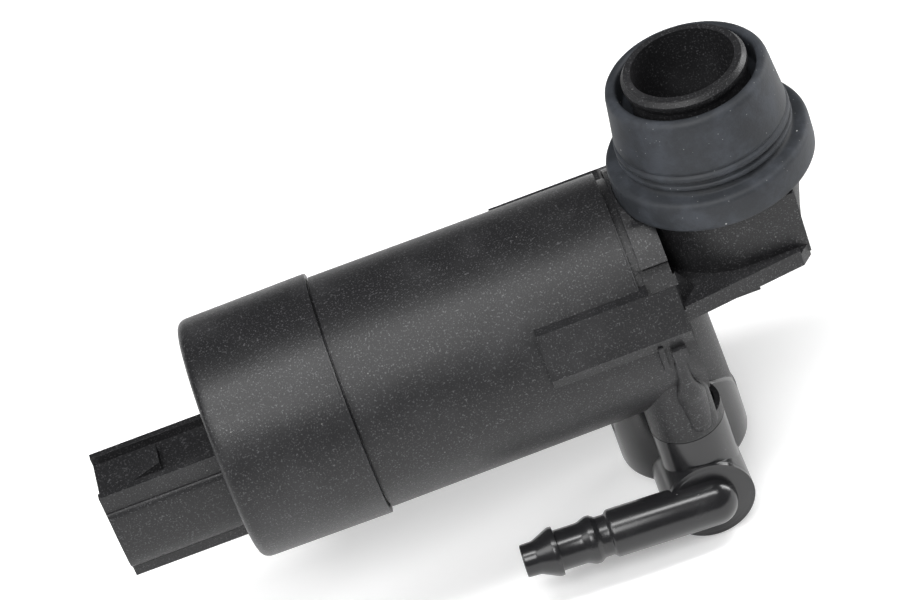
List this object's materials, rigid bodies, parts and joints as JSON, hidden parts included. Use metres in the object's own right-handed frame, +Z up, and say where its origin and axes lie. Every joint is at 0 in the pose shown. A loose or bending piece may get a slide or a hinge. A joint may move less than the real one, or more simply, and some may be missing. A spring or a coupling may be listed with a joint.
{
  "type": "windshield washer pump",
  "caption": "Electric washer-fluid pump: round motor housing with a plug, a tank inlet spigot in a rubber grommet and a barbed side outlet.",
  "frame": {"origin": "inlet spigot's axis at the height of the grommet's seating face", "axes": "+Z up the inlet spigot into the tank, +X along the motor from its plug towards the pump head, the outlet nozzle on the -Y side"},
  "size_m": [0.1065, 0.0366, 0.066],
  "materials": {
    "housing": "fine-grained moulded black",
    "cap": "fine-grained moulded black",
    "terminal": "tinned brass, dulled",
    "grommet": "dusty dark rubber",
    "elbow": "glossy black",
    "lid": "glossy black",
    "carrier": "satin",
    "seal": "matte",
    "can": "zinc plated",
    "bell": "satin",
    "bush": "sintered bronze",
    "magnet": "ground ferrite",
    "brush": "carbon",
    "shaft": "ground",
    "core": "stamped steel sheets",
    "winding": "enamelled copper wire",
    "commutator": "turned copper",
    "impeller": "natural white"
  },
  "bodies": {
    "pump": {"motor_housing": "housing", "end_cap": "cap", "upper_terminal": "terminal", "lower_terminal": "terminal", "inlet_grommet": "grommet", "outlet_elbow": "elbow", "boss_lid": "lid", "seal_carrier": "carrier", "shaft_seal": "seal", "motor_can": "can", "motor_bell": "bell", "front_bush": "bush", "rear_bush": "bush", "upper_magnet": "magnet", "lower_magnet": "magnet", "near_brush": "brush", "far_brush": "brush"},
    "rotor": {"motor_shaft": "shaft", "armature_core": "core", "armature_windings": "winding", "commutator": "commutator", "impeller": "impeller"}
  },
  "joints": [
    {"name": "rotor_spin", "type": "hinge", "parent": "pump", "child": "rotor", "pos_m": [-0.03, 0, -0.0195], "axis": [1, 0, 0], "continuous": true}
  ]
}
